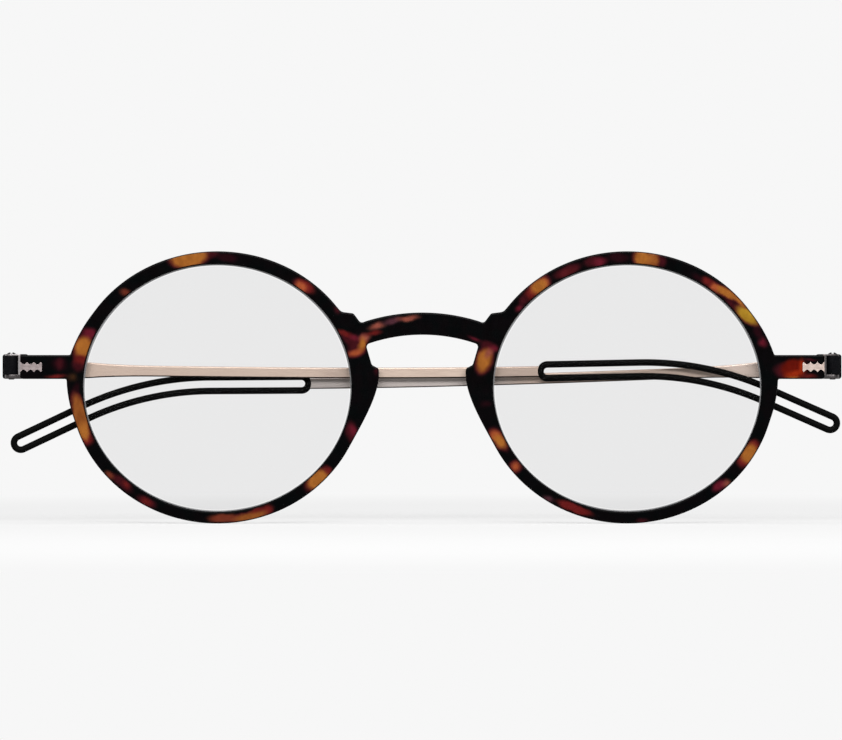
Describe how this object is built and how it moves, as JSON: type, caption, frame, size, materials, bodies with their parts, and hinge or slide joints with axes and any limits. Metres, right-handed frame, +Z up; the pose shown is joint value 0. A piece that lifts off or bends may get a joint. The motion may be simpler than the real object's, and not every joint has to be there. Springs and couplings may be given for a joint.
{
  "type": "folding computer glasses",
  "caption": "Round full-rim computer glasses with clear lenses and slim folding steel temples that end in rubber-coated loops; a moulded bridge rests on the nose.",
  "frame": {"origin": "middle of the underside of the box round the folded glasses", "axes": "+X across the front from the left hinge of the picture to the right one, +Z up, and the front faces -Y; the temples fold behind it and open towards +Y"},
  "size_m": [0.1376, 0.0052, 0.0445],
  "materials": {
    "tortoise_front": "moulded nylon in a dark tortoiseshell pattern with amber and maroon patches, satin gloss",
    "clear_lens": "polished and clear, very slightly grey",
    "hinge_steel": "satin champagne steel",
    "black_nylon": "fine matte black",
    "champagne_steel": "fine lengthwise brushing in a champagne colour",
    "black_rubber": "matte black coat"
  },
  "bodies": {
    "front": {"front_frame": "tortoise_front", "lens_left": "clear_lens", "lens_right": "clear_lens", "hinge_plate_left": "hinge_steel", "hinge_plate_right": "hinge_steel", "hinge_screw_left": "hinge_steel", "hinge_screw_right": "hinge_steel"},
    "left_temple": {"knuckle_left": "black_nylon", "temple_arm_left": "champagne_steel", "temple_tip_left": "black_rubber"},
    "right_temple": {"knuckle_right": "black_nylon", "temple_arm_right": "champagne_steel", "temple_tip_right": "black_rubber"}
  },
  "joints": [
    {"name": "left_hinge", "type": "hinge", "parent": "front", "child": "left_temple", "pos_m": [-0.0672, -0.00143, 0.02587], "axis": [0, 0, 1], "range_deg": [0, 90]},
    {"name": "right_hinge", "type": "hinge", "parent": "front", "child": "right_temple", "pos_m": [0.0672, -0.00003, 0.02587], "axis": [0, 0, -1], "range_deg": [0, 90]}
  ]
}
